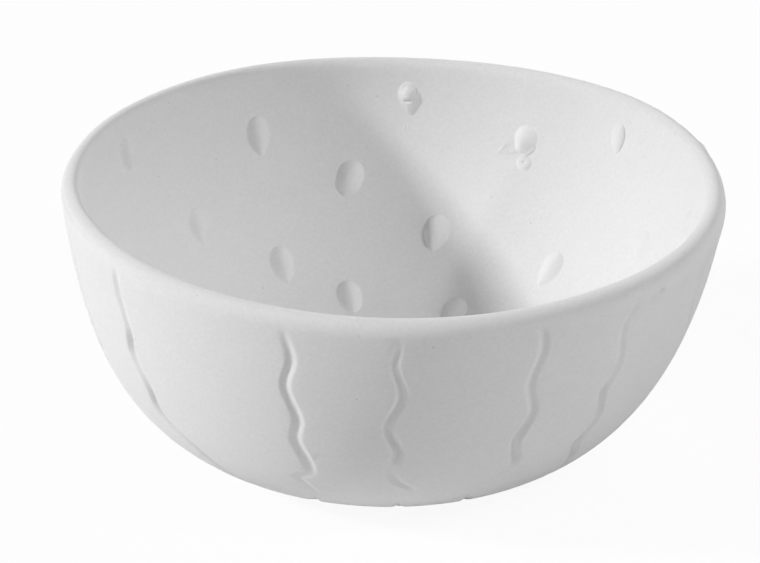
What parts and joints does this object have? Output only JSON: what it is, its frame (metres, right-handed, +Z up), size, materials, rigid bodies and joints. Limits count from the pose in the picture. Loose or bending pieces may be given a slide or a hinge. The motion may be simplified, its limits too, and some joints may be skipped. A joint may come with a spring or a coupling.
{
  "type": "sauce bowl",
  "caption": "Round unglazed ceramic sauce bowl with a rounded lip, wavy stripes scored down the outside wall and raised drop-shaped seeds on the inside wall; it stands on a flat foot ring.",
  "frame": {"origin": "middle of the foot ring, on the surface that the bowl stands on", "axes": "+Z up along the axis of the turned body; -Y is the side that faces the viewer in the picture, with +X to the viewer's right"},
  "size_m": [0.12, 0.12, 0.05],
  "materials": {
    "body_bisque": "matt white unglazed earthenware",
    "seed_bisque": "matt white unglazed earthenware"
  },
  "bodies": {
    "root": {"bowl_body": "body_bisque", "seed_01": "seed_bisque", "seed_02": "seed_bisque", "seed_03": "seed_bisque", "seed_04": "seed_bisque", "seed_05": "seed_bisque", "seed_06": "seed_bisque", "seed_07": "seed_bisque", "seed_08": "seed_bisque", "seed_09": "seed_bisque", "seed_10": "seed_bisque", "seed_11": "seed_bisque", "seed_12": "seed_bisque", "seed_13": "seed_bisque", "seed_14": "seed_bisque", "seed_15": "seed_bisque", "seed_16": "seed_bisque", "seed_17": "seed_bisque", "seed_18": "seed_bisque", "seed_19": "seed_bisque", "seed_20": "seed_bisque", "seed_21": "seed_bisque", "seed_22": "seed_bisque", "seed_23": "seed_bisque", "seed_24": "seed_bisque", "seed_25": "seed_bisque", "seed_26": "seed_bisque", "seed_27": "seed_bisque", "seed_28": "seed_bisque", "seed_29": "seed_bisque", "seed_30": "seed_bisque", "seed_31": "seed_bisque", "seed_32": "seed_bisque", "seed_33": "seed_bisque", "seed_34": "seed_bisque"}
  },
  "joints": []
}
